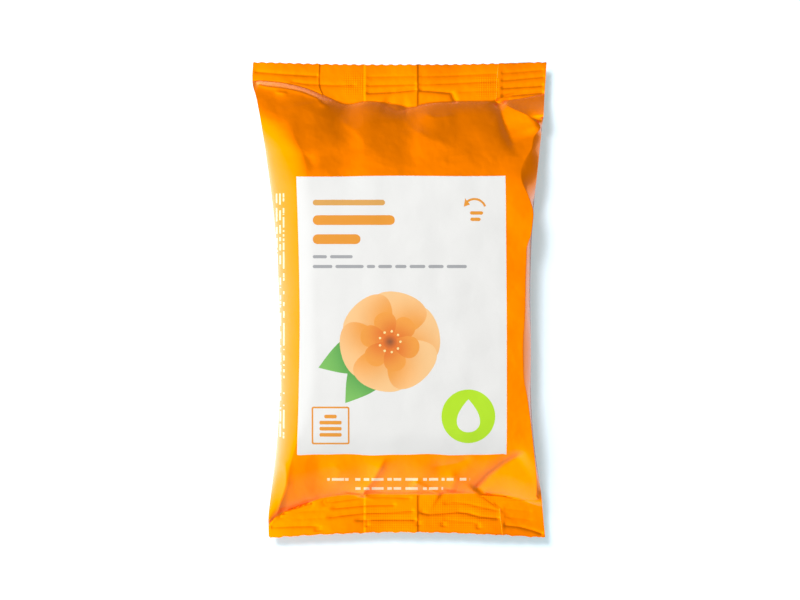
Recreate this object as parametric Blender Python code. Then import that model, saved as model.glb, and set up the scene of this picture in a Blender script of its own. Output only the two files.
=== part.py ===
"""Wet wipes pack.

A pillow pouch of printed film lies on its back, full of folded wipes. Its two ends are crimped
flat between ribbed jaws and cut with a scalloped knife, its back seam is a fin pressed flat, and
a glued reseal label covers the opening in its front.

+X is the pack's right side, +Y its top end and +Z its front. The origin is on the surface that
the pack lies on, under the middle of its outline. Lengths are in metres.
"""

import math

import bmesh
import bpy
import numpy as np

# Overall sizes of the filled pack
PACK_LENGTH = 0.198
PACK_HEIGHT = 0.026
WAIST_WIDTH = 0.1035
TOP_END_WIDTH = 0.1222
BOTTOM_END_WIDTH = 0.1152

# The outline is narrowest at the waist and flares towards each end
WAIST_Y = -0.020
TOP_FLARE_POWER = 1.8
BOTTOM_FLARE_POWER = 1.5
WAIST_SHIFT = 0.0022
BOTTOM_SHIFT = 0.0029

# Film, and how many layers of it the jaws press together
FILM = 0.0001
PANEL_LAYERS = 2
TUCK_LAYERS = 4
FIN_LAYERS = 4

# Crimped end seals
SEAL_WIDTH = 0.0155
SEAL_HEIGHT = 0.0105
SEAL_LIP = 0.0027
RIB_PITCH = 0.0032
RIB_COUNT = 4
RIB_RISE = 0.00035
RIB_FADE = 0.0010
SEAL_DROOP = 0.0012
CORNER_DROOP = 0.0016
TOP_BOW = 0.0012
BOTTOM_BOW = 0.0025
BOW_REACH = 0.045

# Extra width of each seal at places across the pack, from its left side (-1) to its right (1)
TOP_SEAL_WANDER = (
    (-1.0, -0.0080), (-0.75, -0.0068), (-0.60, -0.0045), (-0.50, -0.0015), (-0.37, 0.0013),
    (-0.20, -0.0001), (0.0, 0.0009), (0.10, 0.0021), (0.38, 0.0002), (0.80, -0.0003), (1.0, -0.0020),
)
BOTTOM_SEAL_WANDER = (
    (-1.0, -0.0090), (-0.85, -0.0045), (-0.65, -0.0015), (-0.50, 0.0001), (-0.15, 0.0005),
    (0.20, 0.0004), (0.55, 0.0013), (0.75, 0.0012), (1.0, -0.0020),
)

# Scalloped cut
SCALLOP_COUNT = 32
SCALLOP_DEPTH = 0.00035
KNIFE_WASTE = 0.0006
KNIFE_THICKNESS = 0.010

# The front steps up beside a seal, then slopes until it is level over the wipes
TOP_STEP = 0.0014
BOTTOM_STEP = 0.0006
STEP_REACH = 0.0024
TOP_REACH = 0.044
BOTTOM_REACH = 0.030
FRONT_POWER = 1.65
CROWN = 0.0014
END_DROP = 0.0030

# The back falls from a seal to the surface that the pack lies on
BACK_REACH = 0.014
BACK_POWER = 2.0

# Sides: a narrow upright strip with a rounded corner above and below it
SIDE_HEIGHT = 0.0110
SIDE_STRIP = 0.0030
SIDE_REACH = 0.024
SIDE_POWER = 2.4
LEFT_CORNER = 0.0150
RIGHT_CORNER = 0.0015
BACK_CORNER = 0.0095
LEFT_ROUNDNESS = 1.5
RIGHT_ROUNDNESS = 1.3
BACK_ROUNDNESS = 2.3
EAR_ROUNDNESS = 1.15

# Tucks: the film that folds in behind each corner of an end seal
LEFT_TUCK = 0.0275
BOTTOM_LEFT_TUCK = 0.0050
RIGHT_TUCK = 0.0200
TUCK_REACH = 0.0095
BOTTOM_LEFT_REACH = 0.0600

# Facets where the film bridges from the front to the right side, as centre, half length, width
SIDE_FACETS = (
    (0.048, 0.024, 0.0055),
    (-0.010, 0.034, 0.0030),
)
FACET_LIFT = 1.0

# Fin seal, folded flat down the back
FIN_CENTRE = -0.0038
FIN_WIDTH = 0.0220
FIN_THICKNESS = 0.0003
LAYER_STEP = 0.0004

# Reseal label on the front
LABEL_WIDTH = 0.0850
LABEL_LENGTH = 0.1145
LABEL_CENTRE = (0.0006, -0.0068)
LABEL_THICKNESS = 0.0002
LABEL_GAP = 0.0003

# How finely the surfaces are divided
CORNER_STEPS = 7
PANEL_STEPS = 7
FIN_STEPS = 3
SLOPE_STEPS = 9
SLOPE_LENGTH = 0.024
SLOPE_POWER = 2.4
BODY_STEPS = 16
ROWS_PER_RIB = 4
POINTS_PER_SCALLOP = 4
LABEL_STEPS = (42, 24)

HALF_LENGTH = PACK_LENGTH / 2
BODY_END = HALF_LENGTH - SEAL_WIDTH


def clear_scene():
    """Remove every object that the file starts with."""
    for item in list(bpy.data.objects):
        bpy.data.objects.remove(item, do_unlink=True)


def make_material(name, colour, roughness, metallic):
    """Return a Principled material of one linear colour."""
    material = bpy.data.materials.new(name)
    material.use_nodes = True
    shader = material.node_tree.nodes["Principled BSDF"]
    shader.inputs["Base Color"].default_value = (*colour, 1.0)
    shader.inputs["Roughness"].default_value = roughness
    shader.inputs["Metallic"].default_value = metallic
    return material


def make_object(name, bm, material):
    """Turn a bmesh into a named object of one material, with its faces pointing out."""
    bmesh.ops.recalc_face_normals(bm, faces=bm.faces)
    mesh = bpy.data.meshes.new(name)
    bm.to_mesh(mesh)
    bm.free()
    mesh.materials.append(material)
    mesh.shade_smooth()
    mesh.set_sharp_from_angle(angle=math.radians(35))
    item = bpy.data.objects.new(name, mesh)
    bpy.context.scene.collection.objects.link(item)
    return item


def half_width(along):
    """Half the pouch's width at a distance along the film from the middle of its length."""
    top = np.clip((along - WAIST_Y) / (HALF_LENGTH - WAIST_Y), 0, None)
    bottom = np.clip((WAIST_Y - along) / (HALF_LENGTH + WAIST_Y), 0, None)
    waist = WAIST_WIDTH / 2
    top_flare = (TOP_END_WIDTH / 2 - waist) * top ** TOP_FLARE_POWER
    bottom_flare = (BOTTOM_END_WIDTH / 2 - waist) * bottom ** BOTTOM_FLARE_POWER
    return waist + top_flare + bottom_flare


def centre_line(along):
    """Sideways place of the outline's middle, which wanders a little along the pack."""
    stations = (-HALF_LENGTH, WAIST_Y, HALF_LENGTH)
    return np.interp(along, stations, (BOTTOM_SHIFT, WAIST_SHIFT, 0.0))


def past_seal(along):
    """Distance in from the straight line where the jaws' pressure stops, and nothing within it."""
    return np.clip(BODY_END - np.abs(along), 0, None)


def inside_seal(x, along):
    """Distance in from the nearer seal's wandering inner edge, negative within a seal."""
    place = across(x, along)
    top = np.interp(place, *zip(*TOP_SEAL_WANDER))
    bottom = np.interp(place, *zip(*BOTTOM_SEAL_WANDER))
    return BODY_END - np.abs(along) - np.where(along > 0, top, bottom)


def rise(distance, reach, power):
    """Quarter superellipse: 0 at no distance, steep at first, then level at 1 past its reach."""
    left = 1 - np.clip(distance / reach, 0, 1)
    return (1 - left ** power) ** (1 / power)


def front_rise(distance, along, height):
    """Climb from a seal: a quick step beside it, then a slope that levels out at the full height."""
    distance = np.clip(distance, 0, None)
    reach = np.where(along > 0, TOP_REACH, BOTTOM_REACH)
    step = np.where(along > 0, TOP_STEP, BOTTOM_STEP)
    slope = 1 - (1 - np.clip(distance / reach, 0, 1)) ** FRONT_POWER
    return step * (1 - np.exp(-distance / STEP_REACH)) + (height - step) * slope


def across(x, along):
    """Place across the width: -1 at the left side, 0 on the centre line, 1 at the right side."""
    return (x - centre_line(along)) / half_width(along)


def pulled_in(x, along):
    """Real Y of a point of the film, whose ends are drawn in most at their middle."""
    fade = np.clip(1 - past_seal(along) / BOW_REACH, 0, 1) ** 2
    bow = np.where(along > 0, TOP_BOW, -BOTTOM_BOW)
    return along - bow * fade * (1 - across(x, along) ** 2)


def seal_middle(x, along):
    """Height of a seal's middle surface: it droops to its cut edge and corners, and has ribs."""
    into = np.clip(np.abs(along) - BODY_END, 0, None)
    droop = SEAL_DROOP * (into / SEAL_WIDTH) ** 2
    corner = CORNER_DROOP * into / SEAL_WIDTH * np.abs(across(x, along)) ** 4
    ribs_end = SEAL_WIDTH - SEAL_LIP
    ribs = np.where(into < ribs_end, 1 - np.cos(2 * math.pi * (ribs_end - into) / RIB_PITCH), 0)
    pressed = np.clip(-inside_seal(x, along) / RIB_FADE, 0, 1) * (into > 0)
    return SEAL_HEIGHT - droop - corner + RIB_RISE / 2 * ribs * pressed


def front_height(x, along, layers):
    """Height of the front panel: the seal's face at the ends, crowned over the wipes between."""
    seal = seal_middle(x, along) + layers * FILM / 2
    full = PACK_HEIGHT - CROWN * across(x, along) ** 2 - END_DROP * (along / BODY_END) ** 2
    return seal + front_rise(inside_seal(x, along), along, full - seal)


def back_height(x, along, layers, floor):
    """Height of the back panel: the seal's face at the ends, flat on the floor between."""
    seal = seal_middle(x, along) - layers * FILM / 2
    return seal - (seal - floor) * rise(np.clip(inside_seal(x, along), 0, None), BACK_REACH, BACK_POWER)


def side_height(x, along, layers, face):
    """Height of a side's edge: its strip's top for the front face, its bottom for the back."""
    full = rise(np.clip(inside_seal(x, along), 0, None), SIDE_REACH, SIDE_POWER)
    middle = seal_middle(x, along)
    middle = middle + (SIDE_HEIGHT - middle) * full
    strip = layers * FILM + (SIDE_STRIP - layers * FILM) * full
    return middle + face * strip / 2


def corner_inset(along, tuck, corner, reach):
    """Distance of a panel's edge from the side: a tuck at the seals, a corner between."""
    unfolded = np.clip(past_seal(along) / reach, 0, 1)
    return tuck + (corner - tuck) * unfolded


def left_inset(along, corner):
    """Distance of the left panel's edge from the side, which opens slowly at the bottom end."""
    tuck = np.where(along > 0, LEFT_TUCK, BOTTOM_LEFT_TUCK)
    reach = np.where(along > 0, TUCK_REACH, BOTTOM_LEFT_REACH)
    return corner_inset(along, tuck, corner, reach)


def corner_power(along, roundness):
    """Exponent of a corner's superellipse: nearly straight in a seal, its roundness between."""
    unfolded = np.clip(past_seal(along) / TUCK_REACH, 0, 1)
    return EAR_ROUNDNESS + (roundness - EAR_ROUNDNESS) * unfolded


def side_facets(along):
    """Extra width of the front's right corner where a facet bridges to the side."""
    width = np.zeros_like(along)
    for centre, half, widest in SIDE_FACETS:
        phase = np.clip((along - centre) / half, -1, 1) * math.pi / 2
        width = width + widest * np.cos(phase) ** 2
    return width


def row_stations():
    """Distances along the film of the cross-sections, close together in the ribs and slopes."""
    lip = [HALF_LENGTH + KNIFE_WASTE, HALF_LENGTH - SEAL_LIP / 2]
    rib_rows = np.arange(RIB_COUNT * ROWS_PER_RIB + 1) * RIB_PITCH / ROWS_PER_RIB
    ribs = HALF_LENGTH - SEAL_LIP - rib_rows
    turn = np.linspace(0, math.pi / 2, SLOPE_STEPS + 1)
    slope = BODY_END - SLOPE_LENGTH * (1 - np.cos(turn) ** (2 / SLOPE_POWER))
    end = np.concatenate((lip, ribs[ribs > BODY_END + RIB_PITCH / ROWS_PER_RIB], slope))
    middle = np.linspace(end[-1], -end[-1], BODY_STEPS + 1)[1:-1]
    return np.concatenate((end, middle, -end[::-1]))


def corner_turn(along, roundness):
    """How far in and how high each column of a corner lies, as shares of the corner's size."""
    power = corner_power(along, roundness)
    turn = np.linspace(0, math.pi / 2, CORNER_STEPS + 1)
    return 1 - np.cos(turn) ** (2 / power), np.sin(turn) ** (2 / power)


def face_grid(along, face):
    """Points of the front (face 1) or back (face -1), one row per section, left to right.

    Each section has five spans: a corner, a panel, the fin's width, a panel and a corner. A span
    keeps its own number of film layers, so a small step stands between one and the next.
    """
    along = along[:, None]
    half = half_width(along)
    middle = centre_line(along)
    left = middle - half
    right = middle + half
    if face > 0:
        corners = (LEFT_CORNER, RIGHT_CORNER)
        facets = side_facets(along)
    else:
        corners = (BACK_CORNER, BACK_CORNER)
        facets = np.zeros_like(along)
    left_edge = left + left_inset(along, corners[0])
    right_edge = right - corner_inset(along, RIGHT_TUCK, corners[1], TUCK_REACH) - facets
    fin_left = np.full_like(along, FIN_CENTRE - FIN_WIDTH / 2)
    fin_right = fin_left + FIN_WIDTH
    left_turn = corner_turn(along, LEFT_ROUNDNESS if face > 0 else BACK_ROUNDNESS)
    right_turn = corner_turn(along, RIGHT_ROUNDNESS if face > 0 else BACK_ROUNDNESS)
    even = np.linspace(0, 1, PANEL_STEPS + 1)
    level = np.ones_like(along)
    spans = (
        (left, left_edge, left_turn[0], TUCK_LAYERS, left_turn[1]),
        (left_edge + LAYER_STEP, fin_left - LAYER_STEP, even, PANEL_LAYERS, level),
        (fin_left, fin_right, np.linspace(0, 1, FIN_STEPS + 1), FIN_LAYERS, level),
        (fin_right + LAYER_STEP, right_edge - LAYER_STEP, even, PANEL_LAYERS, level),
        (right_edge, right, 1 - right_turn[0][:, ::-1], TUCK_LAYERS, right_turn[1][:, ::-1]),
    )
    parts = []
    for start, stop, fraction, layers, height in spans:
        x = start + (stop - start) * fraction
        side = side_height(x, along, layers, face)
        if face > 0:
            panel = front_height(x, along, layers)
            side = side + FACET_LIFT * facets * (x > middle)
        else:
            floor = 0.0 if start is fin_left else FIN_THICKNESS
            panel = back_height(x, along, layers, floor)
        z = side + (panel - side) * height
        parts.append(np.stack((x, pulled_in(x, along), z), axis=-1))
    return np.concatenate(parts, axis=1)


def add_grid(bm, points):
    """Add a grid of points to the bmesh and return its vertices as rows."""
    return [[bm.verts.new(point) for point in row] for row in points]


def close_sheet(bm, upper, lower):
    """Join two grids of the same size into one closed body, with walls round their borders."""
    rows = len(upper)
    columns = len(upper[0])
    for grid in (upper, lower):
        for i in range(rows - 1):
            for j in range(columns - 1):
                bm.faces.new((grid[i][j], grid[i][j + 1], grid[i + 1][j + 1], grid[i + 1][j]))
    for i in (0, rows - 1):
        for j in range(columns - 1):
            bm.faces.new((upper[i][j], upper[i][j + 1], lower[i][j + 1], lower[i][j]))
    for j in (0, columns - 1):
        for i in range(rows - 1):
            bm.faces.new((upper[i][j], upper[i + 1][j], lower[i + 1][j], lower[i][j]))


def knife_edge(end):
    """Outline of the knife at one end: a row of scallops along the bowed cut, closed outside."""
    pitch = TOP_END_WIDTH / SCALLOP_COUNT
    edge = end * HALF_LENGTH
    start = centre_line(edge) - half_width(edge) - pitch
    count = (SCALLOP_COUNT + 2) * POINTS_PER_SCALLOP
    x = start + np.arange(count + 1) * pitch / POINTS_PER_SCALLOP
    scallop = (1 - np.cos(2 * math.pi * (x - start) / pitch)) / 2
    y = pulled_in(x, np.full_like(x, edge)) - end * SCALLOP_DEPTH * scallop
    outside = end * (HALF_LENGTH + KNIFE_THICKNESS)
    return list(zip(x, y)) + [(x[-1], outside), (x[0], outside)]


def make_knife(name, end):
    """A solid with the knife's outline, tall enough to pass through the seal."""
    bm = bmesh.new()
    outline = [bm.verts.new((x, y, SEAL_HEIGHT - KNIFE_THICKNESS / 2)) for x, y in knife_edge(end)]
    base = bm.faces.new(outline)
    tall = bmesh.ops.extrude_face_region(bm, geom=[base])
    moved = [item for item in tall["geom"] if isinstance(item, bmesh.types.BMVert)]
    bmesh.ops.translate(bm, verts=moved, vec=(0, 0, KNIFE_THICKNESS))
    knife = make_object(name, bm, bpy.data.materials.new(name))
    knife.hide_render = True
    knife.display_type = "WIRE"
    return knife


def make_pouch(material):
    """The sealed pouch: front and back joined into one body, then cut at both ends."""
    along = row_stations()
    bm = bmesh.new()
    close_sheet(bm, add_grid(bm, face_grid(along, 1)), add_grid(bm, face_grid(along, -1)))
    pouch = make_object("sealed_pouch", bm, material)
    for name, end in (("top_knife", 1), ("bottom_knife", -1)):
        cut = pouch.modifiers.new(name, "BOOLEAN")
        cut.operation = "DIFFERENCE"
        cut.solver = "EXACT"
        cut.object = make_knife(name, end)
    return pouch


def front_surface(x, along):
    """Height of the front's single film anywhere left of its right corner."""
    left = centre_line(along) - half_width(along)
    share = np.clip((x - left) / left_inset(along, LEFT_CORNER), 0, 1)
    power = corner_power(along, LEFT_ROUNDNESS)
    lift = (1 - (1 - share) ** power) ** (1 / power)
    side = side_height(x, along, PANEL_LAYERS, 1)
    return side + (front_height(x, along, PANEL_LAYERS) - side) * lift


def label_grid(offset):
    """Points of the label's surface at a height above the film, cut as a rectangle of film."""
    centre_x, centre_y = LABEL_CENTRE
    x = centre_x + np.linspace(-0.5, 0.5, LABEL_STEPS[0] + 1)[None, :] * LABEL_WIDTH
    along = centre_y + np.linspace(-0.5, 0.5, LABEL_STEPS[1] + 1)[:, None] * LABEL_LENGTH
    x, along = np.broadcast_arrays(x, along)
    z = front_surface(x, along) + offset
    return np.stack((x, pulled_in(x, along), z), axis=-1)


def make_label(material):
    """The reseal label: a thin sheet that follows the front of the pouch."""
    bm = bmesh.new()
    upper = add_grid(bm, label_grid(LABEL_GAP + LABEL_THICKNESS))
    lower = add_grid(bm, label_grid(LABEL_GAP))
    close_sheet(bm, upper, lower)
    return make_object("reseal_label", bm, material)


def main():
    """Build the pouch and its label."""
    clear_scene()
    film = make_material("orange_film", (0.91, 0.25, 0.012), 0.35, 0.3)
    paper = make_material("white_label_film", (0.82, 0.82, 0.81), 0.30, 0.0)
    make_pouch(film)
    make_label(paper)


main()
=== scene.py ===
# %% [markdown]
# # A pack of wet wipes
#
# The real thing is a flow-wrapped pillow pack: a web of orange printed film is folded round a stack
# of moist wipes, its long edges are sealed into a fin down the back, and its two ends are crimped
# between ribbed jaws and cut with a scalloped knife. A white reseal label is glued over the opening.
#
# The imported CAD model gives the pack's place and size. This script makes the film's fine surface,
# the label with its print, their materials, and a plain white studio.

# %% Load the frame
import math

import bpy
import numpy as np
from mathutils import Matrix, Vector, geometry


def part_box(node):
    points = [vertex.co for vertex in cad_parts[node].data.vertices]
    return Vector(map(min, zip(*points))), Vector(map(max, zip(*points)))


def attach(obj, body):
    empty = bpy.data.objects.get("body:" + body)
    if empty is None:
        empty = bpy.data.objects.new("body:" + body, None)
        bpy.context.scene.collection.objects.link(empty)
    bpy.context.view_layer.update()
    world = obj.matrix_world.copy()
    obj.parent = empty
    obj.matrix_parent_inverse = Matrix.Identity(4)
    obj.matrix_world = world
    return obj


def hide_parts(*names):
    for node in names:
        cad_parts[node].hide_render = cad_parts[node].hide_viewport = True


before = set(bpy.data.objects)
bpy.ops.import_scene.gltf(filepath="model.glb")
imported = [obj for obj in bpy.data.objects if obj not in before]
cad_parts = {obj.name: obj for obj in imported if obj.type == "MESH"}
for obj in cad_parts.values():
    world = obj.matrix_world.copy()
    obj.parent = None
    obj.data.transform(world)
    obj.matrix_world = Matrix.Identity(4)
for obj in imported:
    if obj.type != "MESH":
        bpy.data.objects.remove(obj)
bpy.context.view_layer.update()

MM = 0.001
pouch_low, pouch_high = (np.array(corner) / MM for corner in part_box("sealed_pouch"))
HALF_LENGTH = pouch_high[1]
PACK_HEIGHT = pouch_high[2]
print("pouch, mm:", pouch_low.round(2), pouch_high.round(2))

# %% [markdown]
# ## Curves drawn through listed points
#
# The pack's outline and the edge of each seal wander, because film is soft and the wipes push it
# about. Each such line is a few listed points with a smooth curve through them. A cubic Hermite
# curve keeps to its points and never rings as a high polynomial does.


# %% Curves through listed points
def curve_through(at, knots):
    """Cubic Hermite curve through (place, value) knots, whose slopes are those of its neighbours."""
    place, value = np.array(knots, float).T
    slope = np.gradient(value, place)
    at = np.clip(at, place[0], place[-1])
    i = np.clip(np.searchsorted(place, at) - 1, 0, len(place) - 2)
    span = place[i + 1] - place[i]
    t = (at - place[i]) / span
    start = (1 + 2 * t) * (1 - t) ** 2 * value[i] + t * (1 - t) ** 2 * span * slope[i]
    return start + t * t * (3 - 2 * t) * value[i + 1] + t * t * (t - 1) * span * slope[i + 1]


def smooth_step(value, low, high):
    """0 below low, 1 above high and an S-shaped ramp between."""
    t = np.clip((value - low) / (high - low), 0, 1)
    return t * t * (3 - 2 * t)


LEFT_SIDE = (
    (-99, -54.4), (-90, -54.4), (-81, -53.4), (-58, -50.9), (-41, -49.8), (-18, -49.7),
    (5, -50.2), (35, -52.2), (58, -55.1), (78, -58.1), (84, -59.4), (89, -60.9), (99, -61.0),
)
RIGHT_SIDE = (
    (-99, 60.4), (-81, 58.6), (-61, 55.7), (-41, 54.2), (-18, 54.1), (5, 53.8),
    (28, 54.6), (48, 56.1), (71, 58.7), (85, 60.0), (99, 61.0),
)
# Where each end seal stops and the film starts to rise, as (x, distance from the pack's middle)
TOP_SEAL_EDGE = (
    (-61, 91.5), (-46, 90.3), (-37, 88.0), (-30, 85.0), (-22.5, 82.2), (-14, 83.6), (-2, 82.6),
    (5.5, 81.4), (9, 82.3), (23, 83.3), (40, 83.3), (50, 83.8), (61, 85.5),
)
BOTTOM_SEAL_EDGE = (
    (-54, 92.5), (-49.5, 88.8), (-44, 87.2), (-39, 85.9), (-33, 83.9), (-29, 83.4), (-15, 83.0),
    (0, 83.4), (17, 83.0), (33, 82.2), (43, 82.2), (54, 84.6), (61, 86.0),
)
print("top seal's edge at the middle:", curve_through(np.zeros(1), TOP_SEAL_EDGE))

# %% [markdown]
# ## The shape of the filled pouch
#
# Seen from its end, the pouch is flat at a seal and nearly a rounded box over the wipes. So each
# cross-section is drawn as panels joined by rounded corners, and the panel's height and the corner's
# width change along the pack. A superellipse gives both the quick rise out of a seal and the corners.

# %% Sizes of the filled pouch, in millimetres
FILM = 0.1
SEAL_HEIGHT = 10.5
SEAL_WIDTH = 15.5
TOP_DROOP, BOTTOM_DROOP = 1.0, -1.2
TOP_BOW, BOTTOM_BOW, BOW_REACH = 1.2, 2.5, 45.0
SCALLOPS, SCALLOP_DEPTH, CORNER_CUT = 32, 0.40, 0.8
TOP_STEP, BOTTOM_STEP, STEP_REACH = 1.4, 0.6, 2.4
TOP_REACH, BOTTOM_REACH, FRONT_POWER = 44.0, 30.0, 1.65
BACK_REACH, BACK_POWER = 14.0, 2.0
CROWN = 1.4
END_DROP = 3.0
SIDE_HEIGHT, SIDE_STRIP, FACET_LIFT, FACET_WIDTH = 11.0, 3.0, 6.5, 7.0
BACK_CORNER = 9.5
TUCK_REACH = 9.5
TOP_LEFT_TUCK, BOTTOM_LEFT_TUCK, RIGHT_TUCK = 27.5, 1.6, 20.0
FIN_CENTRE, FIN_WIDTH, FIN_THICKNESS = -3.8, 22.0, 0.3
LAYER_STEP = 0.28
# How far in from each side the front panel's edge lies, as (y, inset)
LEFT_INSET = (
    (-99, 1.6), (-93, 1.6), (-91.5, 2.3), (-84, 4.8), (-78, 6.6), (-68, 7.2), (-58, 9), (-45, 13), (0, 15),
    (40, 16), (58, 16), (70, 13), (79, 15), (83.5, 26.5), (85, 27.5), (89, 27.5), (99, 27.5),
)
RIGHT_INSET = (
    (-99, 17.8), (-88, 17.8), (-84.7, 17.5), (-83, 3.2), (-81, 2.2), (-77, 1.6), (-60, 0.8), (-49, 1.2), (-38.5, 2.2),
    (-33, 3.3), (-27, 3.7), (-17, 3.8), (-8.6, 3.0), (16, 2.4), (22, 2.3), (26, 1.0), (31, 0.5), (36, 0.5),
    (43, 3.3), (49, 6.4), (52.5, 7.0), (57.5, 5.9), (62, 3.7), (67.7, 2.9), (71, 0.8), (74.3, 3.7),
    (75.6, 6.4), (77.6, 9.6), (80, 14.7), (81.5, 17), (83.2, 19.8), (85, 20), (99, 20),
)


# %% Helper surfaces
def sides(along):
    """Left and right edges of the pouch's outline at a distance along it."""
    return curve_through(along, LEFT_SIDE), curve_through(along, RIGHT_SIDE)


def across(x, along):
    """Place across the width: -1 at the left side and 1 at the right."""
    left, right = sides(along)
    return (2 * x - left - right) / (right - left)


def inside_seal(x, along):
    """Distance in from the nearer seal's wavy edge, negative within a seal."""
    top = curve_through(x, TOP_SEAL_EDGE) - along
    bottom = curve_through(x, BOTTOM_SEAL_EDGE) + along
    return np.minimum(top, bottom)


def rise(distance, reach, power):
    """Quarter superellipse: 0 at no distance, steep at first, then level at 1 past its reach."""
    left = 1 - np.clip(distance / reach, 0, 1)
    return (1 - left ** power) ** (1 / power)


def front_rise(distance, along, height):
    """Climb from a seal: a quick step beside it, then a slope that levels out at the full height."""
    distance = np.clip(distance, 0, None)
    reach = np.where(along > 0, TOP_REACH, BOTTOM_REACH)
    step = np.where(along > 0, TOP_STEP, BOTTOM_STEP)
    slope = 1 - (1 - np.clip(distance / reach, 0, 1)) ** FRONT_POWER
    return step * (1 - np.exp(-distance / STEP_REACH)) + (height - step) * slope


def pulled_in(x, along):
    """Real Y of a point of film: the ends are drawn in most at their middle."""
    fade = np.clip(1 - np.clip(inside_seal(x, along), 0, None) / BOW_REACH, 0, 1) ** 2
    bow = np.where(along > 0, TOP_BOW, -BOTTOM_BOW)
    return along - bow * fade * (1 - across(x, along) ** 2)


def seal_middle(x, along):
    """Height of a seal's middle surface, which sways across and droops to its cut edge."""
    into = np.clip(np.abs(along) - (HALF_LENGTH - SEAL_WIDTH), 0, None) / SEAL_WIDTH
    sway = 0.35 * np.sin(x / 9.0 + np.sign(along)) + 0.25 * np.sin(x / 4.7)
    corner = np.where(along > 0, 0.8, 2.0) * np.abs(across(x, along)) ** 6
    droop = np.where(along > 0, TOP_DROOP, BOTTOM_DROOP)
    return SEAL_HEIGHT + (sway - droop * into - corner) * into + ribs(x, along)


# %% [markdown]
# ## Folds and creases
#
# Film hardly stretches, so wherever it must gather it folds. A fold here is a line of a few points
# with a height, and the surface falls away from the line at its own rate on each side: that gives a
# sharp fold one steep face, as film has. Adding the folds to the smooth pouch works like sculpting,
# but each one stays a line of numbers that can be changed.


# %% Fold lines
def fold(x, y, path, height, left, right, fade_in, fade_out):
    """Height of one fold: exp(-distance / width) of its line, with a width for either side.

    Left is the side on the left hand of someone who walks along the path. The fold fades in and out
    over the given lengths at the path's two ends.
    """
    path = np.array(path, float)
    reach = 5 * max(left, right)
    low = path.min(axis=0) - reach
    high = path.max(axis=0) + reach
    near = (x > low[0]) & (x < high[0]) & (y > low[1]) & (y < high[1])
    result = np.zeros(x.shape)
    if not near.any():
        return result
    x, y = x[near], y[near]
    best = np.full(x.shape, 1e9)
    signed = np.zeros(x.shape)
    walked = np.zeros(x.shape)
    start = 0.0
    for a, b in zip(path[:-1], path[1:]):
        run = b - a
        length = math.hypot(*run)
        t = np.clip(((x - a[0]) * run[0] + (y - a[1]) * run[1]) / length ** 2, 0, 1)
        dx = x - a[0] - t * run[0]
        dy = y - a[1] - t * run[1]
        distance = np.hypot(dx, dy)
        nearer = distance < best
        best = np.where(nearer, distance, best)
        signed = np.where(nearer, run[0] * dy - run[1] * dx, signed)
        walked = np.where(nearer, start + t * length, walked)
        start += length
    width = np.where(signed > 0, left, right)
    soft = np.minimum(0.3, 0.4 * min(left, right))
    soft = np.sqrt(best ** 2 + soft ** 2) - soft
    fade = smooth_step(walked, -0.1, fade_in) * smooth_step(start - walked, -0.1, fade_out)
    result[near] = height * fade * np.exp(-soft / width)
    return result


FRONT_FOLDS = (
    # the top right corner: a valley beside the fold that runs from the seal to the pack's side
    (((39.5, 84), (41.5, 79.5), (42.5, 75.5), (44.5, 69), (48, 58)), -1.7, 7.0, 1.8, 2.0, 14.0),
    (((42, 82.5), (47, 79.3), (52, 76.5), (55.5, 73.5), (57, 68)), 1.1, 2.2, 5.0, 3.0, 4.0),
    # the left end of the top seal: a slack pleat hangs under the seal's edge
    (((-59.8, 89.7), (-54.8, 88.5), (-48.6, 88.0), (-44.1, 87.4), (-39.5, 86.3), (-34.2, 84.3), (-31.7, 81.8),
      (-28.4, 80.1)), 0.8, 2.0, 1.3, 2.0, 3.0),
    (((-52, 86.4), (-46, 85.6)), 0.3, 0.8, 0.8, 2.0, 2.0),
    # the hollow and the soft dents under the middle of the top seal
    (((-8, 82.5), (-1, 79.5), (5, 80.5)), -0.8, 3.0, 2.5, 3.0, 3.0),
    (((8, 79), (15, 76), (24, 77)), 0.45, 3.0, 5.0, 5.0, 5.0),
    (((-26, 76), (-18, 70), (-14, 62)), 0.5, 5.0, 5.0, 6.0, 8.0),
    (((0, 76), (10, 68), (24, 62)), 0.45, 5.0, 6.0, 8.0, 8.0),
    # a dimple above the label's left top corner
    (((-39.5, 61), (-34, 54)), -0.5, 2.5, 3.0, 4.0, 3.0),
    # the left bottom corner's upright ridge, and the crease along the seal's slanted edge
    (((-47.3, -65), (-46.6, -72), (-46.8, -76), (-49, -82.5), (-51.2, -91.5), (-53.6, -93.4)), 0.8, 1.8, 3.0,
     4.0, 2.0),
    (((-53.2, -93.6), (-50, -90.6), (-46.8, -88.7), (-42, -86.7), (-35.3, -84.5)), -0.7, 2.4, 1.6, 2.0, 3.0),
    (((-31.7, -84.2), (-29.6, -87.2)), -0.4, 0.8, 0.8, 1.0, 1.0),
    # creases under the label
    (((-5, -63.5), (-8.5, -71), (-11.4, -76.5), (-14.2, -80), (-15.8, -84.5)), 1.2, 2.2, 3.2, 8.0, 1.5),
    (((-28, -64), (-25, -72), (-27, -80)), 0.4, 4.0, 4.0, 6.0, 5.0),
    (((52.5, -62), (43, -68), (37, -73.5), (31, -81)), -1.7, 7.0, 2.2, 6.0, 2.0),
    (((5, -76), (11, -80), (17, -83.5)), 0.8, 1.3, 3.0, 3.0, 1.0),
    (((20, -70), (23, -76), (21, -82)), 0.7, 1.6, 4.0, 5.0, 2.0),
    (((30, -64), (24, -68), (12, -70)), -0.5, 3.0, 3.0, 5.0, 5.0),
)
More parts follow.
